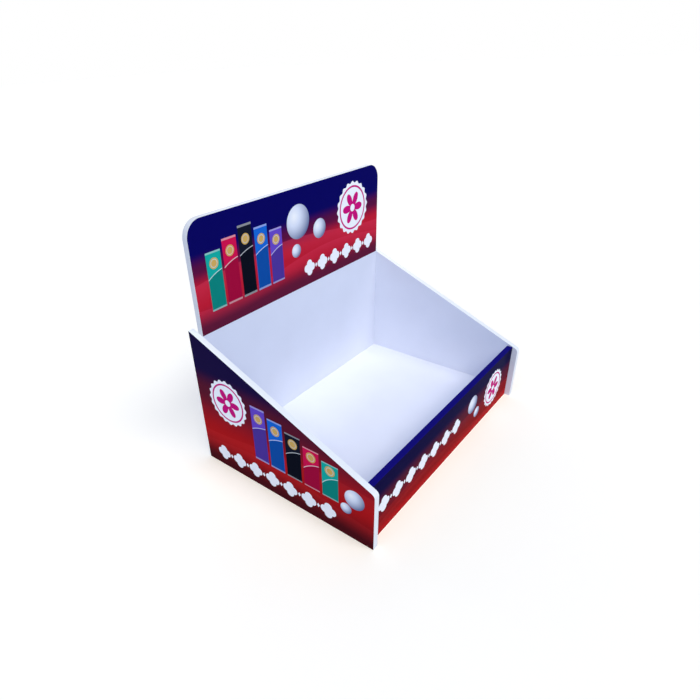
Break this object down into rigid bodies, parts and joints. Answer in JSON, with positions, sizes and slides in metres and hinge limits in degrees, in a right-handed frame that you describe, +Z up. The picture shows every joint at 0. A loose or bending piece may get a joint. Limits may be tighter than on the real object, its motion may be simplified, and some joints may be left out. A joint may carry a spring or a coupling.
{
  "type": "counter display stand",
  "caption": "Foam board counter display stand: an open tray between sloping side boards, with a tall round-cornered header board and printed film on its outer faces.",
  "frame": {"origin": "on the ground, under the middle of the stand's box", "axes": "+X to the right across the stand seen from its front, +Y to the rear, +Z up"},
  "size_m": [0.7204, 0.5, 0.6],
  "materials": {
    "foam_board": "satin white expanded plastic board with plain cut edges",
    "printed_film": "gloss laminated film printed navy to red"
  },
  "bodies": {
    "root": {"left_board": "foam_board", "right_board": "foam_board", "back_board": "foam_board", "floor_board": "foam_board", "front_board": "foam_board", "left_film": "printed_film", "right_film": "printed_film", "header_film": "printed_film", "front_film": "printed_film"}
  },
  "joints": []
}
